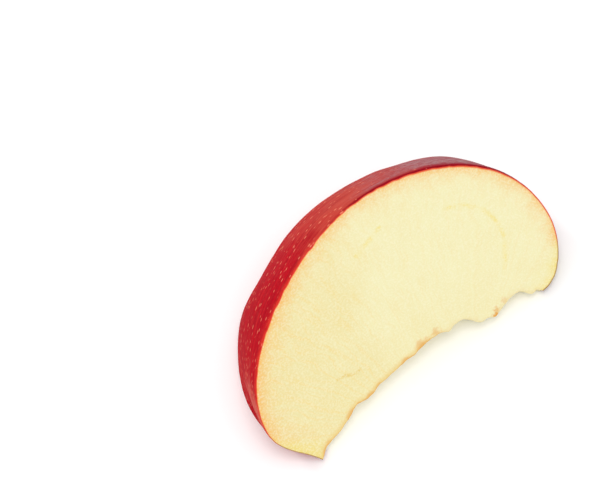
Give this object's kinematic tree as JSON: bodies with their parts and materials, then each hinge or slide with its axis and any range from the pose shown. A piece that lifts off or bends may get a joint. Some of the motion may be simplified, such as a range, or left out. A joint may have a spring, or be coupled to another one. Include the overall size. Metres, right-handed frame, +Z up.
{
  "type": "apple slice",
  "caption": "Wedge of a red-skinned apple with its core cut out, lying on one cut face; cream flesh inside a curved red skin.",
  "frame": {"origin": "on the surface that the slice lies on, at the middle of the slice's box", "axes": "+X along the apple's own axis towards the stem end, +Y towards the skin, +Z up from the surface"},
  "size_m": [0.068, 0.0392, 0.0289],
  "materials": {
    "apple_slice": "natural fruit: moist cream flesh on the cut faces, waxy deep red skin on the outer side"
  },
  "bodies": {
    "root": {"apple_slice": "apple_slice"}
  },
  "joints": []
}
